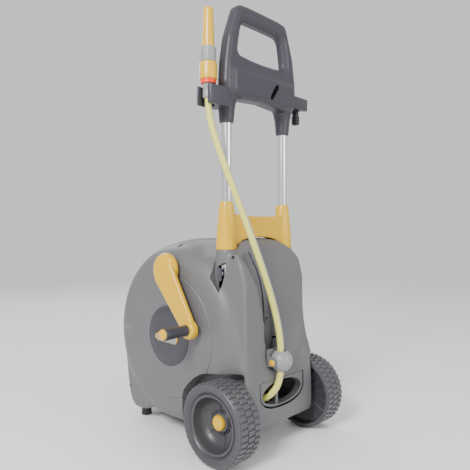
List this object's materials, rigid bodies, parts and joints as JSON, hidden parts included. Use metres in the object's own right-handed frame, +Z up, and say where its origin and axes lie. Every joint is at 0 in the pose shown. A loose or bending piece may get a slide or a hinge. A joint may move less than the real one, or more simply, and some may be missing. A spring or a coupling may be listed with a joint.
{
  "type": "wheeled garden hose reel cart",
  "caption": "Enclosed hose reel on two wheels with a side crank, a telescopic D-grip handle, a spray nozzle in a clip and a hose led through a swivelling eye.",
  "frame": {"origin": "on the floor, under the middle of the whole cart in X and Y", "axes": "+Z up; +Y from the hose outlet and wheels towards the front feet; +X away from the crank"},
  "size_m": [0.446, 0.5403, 1.05],
  "materials": {
    "grey_case": "fine moulded texture",
    "charcoal": "fine moulded texture",
    "yellow": "smooth moulded",
    "black_plastic": "moulded",
    "wheel_plastic": "moulded",
    "light_grey": "moulded",
    "white_acetal": "machined",
    "orange": "smooth moulded",
    "hose_pvc": "extruded soft PVC",
    "aluminium": "drawn and polished",
    "steel": "turned, zinc plated",
    "seal_rubber": "moulded"
  },
  "bodies": {
    "case": {"left_shell": "grey_case", "right_shell": "grey_case", "case_screws": "steel", "left_hub_cover": "charcoal", "right_hub_cover": "charcoal", "hub_badge": "yellow", "tube_collar": "yellow", "front_feet": "black_plastic", "wheel_axle": "steel", "left_drum_bush": "white_acetal", "right_drum_bush": "white_acetal", "crank_bush": "white_acetal", "inlet_spigot": "yellow", "inlet_seals": "seal_rubber", "outlet_plate": "grey_case", "eye_bracket": "grey_case", "hose_run": "hose_pvc"},
    "handle": {"handle_front": "charcoal", "handle_rear": "charcoal", "handle_screws": "steel", "left_handle_tube": "aluminium", "right_handle_tube": "aluminium", "tube_plugs": "black_plastic", "nozzle_clip": "charcoal", "fitting_clip": "charcoal", "stored_fitting": "black_plastic", "hose_connector": "light_grey", "nozzle_barrel": "yellow", "nozzle_oring": "seal_rubber"},
    "nozzle_head": {"nozzle_ring": "light_grey", "nozzle_tip": "yellow"},
    "connector_collar": {"connector_collar": "orange"},
    "left_latch": {"left_latch": "light_grey"},
    "right_latch": {"right_latch": "light_grey"},
    "drum": {"drum_core": "black_plastic", "left_drum_flange": "black_plastic", "right_drum_flange": "black_plastic", "drum_gear": "white_acetal", "drum_bolts": "steel", "hose_winding": "hose_pvc"},
    "crank": {"crank_arm": "yellow", "crank_shaft": "steel", "crank_pinion": "white_acetal", "knob_pin": "steel"},
    "crank_knob": {"crank_knob": "charcoal", "knob_cap": "yellow"},
    "left_wheel": {"left_wheel": "wheel_plastic", "left_wheel_cap": "yellow"},
    "right_wheel": {"right_wheel": "wheel_plastic", "right_wheel_cap": "yellow"},
    "hose_eye": {"eye_left_half": "light_grey", "eye_right_half": "light_grey", "eye_caps": "yellow"},
    "left_roller": {"left_outlet_roller": "black_plastic"},
    "right_roller": {"right_outlet_roller": "black_plastic"}
  },
  "joints": [
    {"name": "handle_slide", "type": "slide", "parent": "case", "child": "handle", "axis": [0, 0, 1], "range_m": [-0.17, 0], "deforming": ["hose_run"]},
    {"name": "nozzle_twist", "type": "hinge", "parent": "handle", "child": "nozzle_head", "pos_m": [-0.138, -0.1402, 0.912], "axis": [0, 0, 1], "range_deg": [0, 300]},
    {"name": "collar_pull", "type": "slide", "parent": "handle", "child": "connector_collar", "axis": [0, 0, -1], "range_m": [0, 0.005], "stiffness_N_per_m": 800},
    {"name": "left_latch_push", "type": "slide", "parent": "case", "child": "left_latch", "axis": [1, 0, 0], "range_m": [0, 0.003]},
    {"name": "right_latch_push", "type": "slide", "parent": "case", "child": "right_latch", "axis": [-1, 0, 0], "range_m": [0, 0.003]},
    {"name": "drum_spin", "type": "hinge", "parent": "case", "child": "drum", "pos_m": [0.027, 0.0252, 0.2532], "axis": [1, 0, 0], "continuous": true},
    {"name": "crank_spin", "type": "hinge", "parent": "case", "child": "crank", "pos_m": [-0.139, 0.0218, 0.41967], "axis": [1, 0, 0], "continuous": true},
    {"name": "knob_spin", "type": "hinge", "parent": "crank", "child": "crank_knob", "pos_m": [-0.183, -0.0782, 0.284], "axis": [1, 0, 0], "continuous": true},
    {"name": "left_wheel_spin", "type": "hinge", "parent": "case", "child": "left_wheel", "pos_m": [-0.136, -0.1782, 0.092], "axis": [1, 0, 0], "continuous": true},
    {"name": "right_wheel_spin", "type": "hinge", "parent": "case", "child": "right_wheel", "pos_m": [0.19, -0.1782, 0.092], "axis": [1, 0, 0], "continuous": true},
    {"name": "eye_swivel", "type": "hinge", "parent": "case", "child": "hose_eye", "pos_m": [0.009, -0.2342, 0.212], "axis": [1, 0, 0], "range_deg": [-6, 6]},
    {"name": "left_roller_spin", "type": "hinge", "parent": "case", "child": "left_roller", "pos_m": [-0.05, -0.2052, 0.13], "axis": [0, 0, 1], "continuous": true},
    {"name": "right_roller_spin", "type": "hinge", "parent": "case", "child": "right_roller", "pos_m": [-0.007, -0.2052, 0.13], "axis": [0, 0, 1], "continuous": true}
  ],
  "couplings": [
    {"joint": "crank_spin", "follows": "drum_spin", "ratio": -2.7}
  ]
}
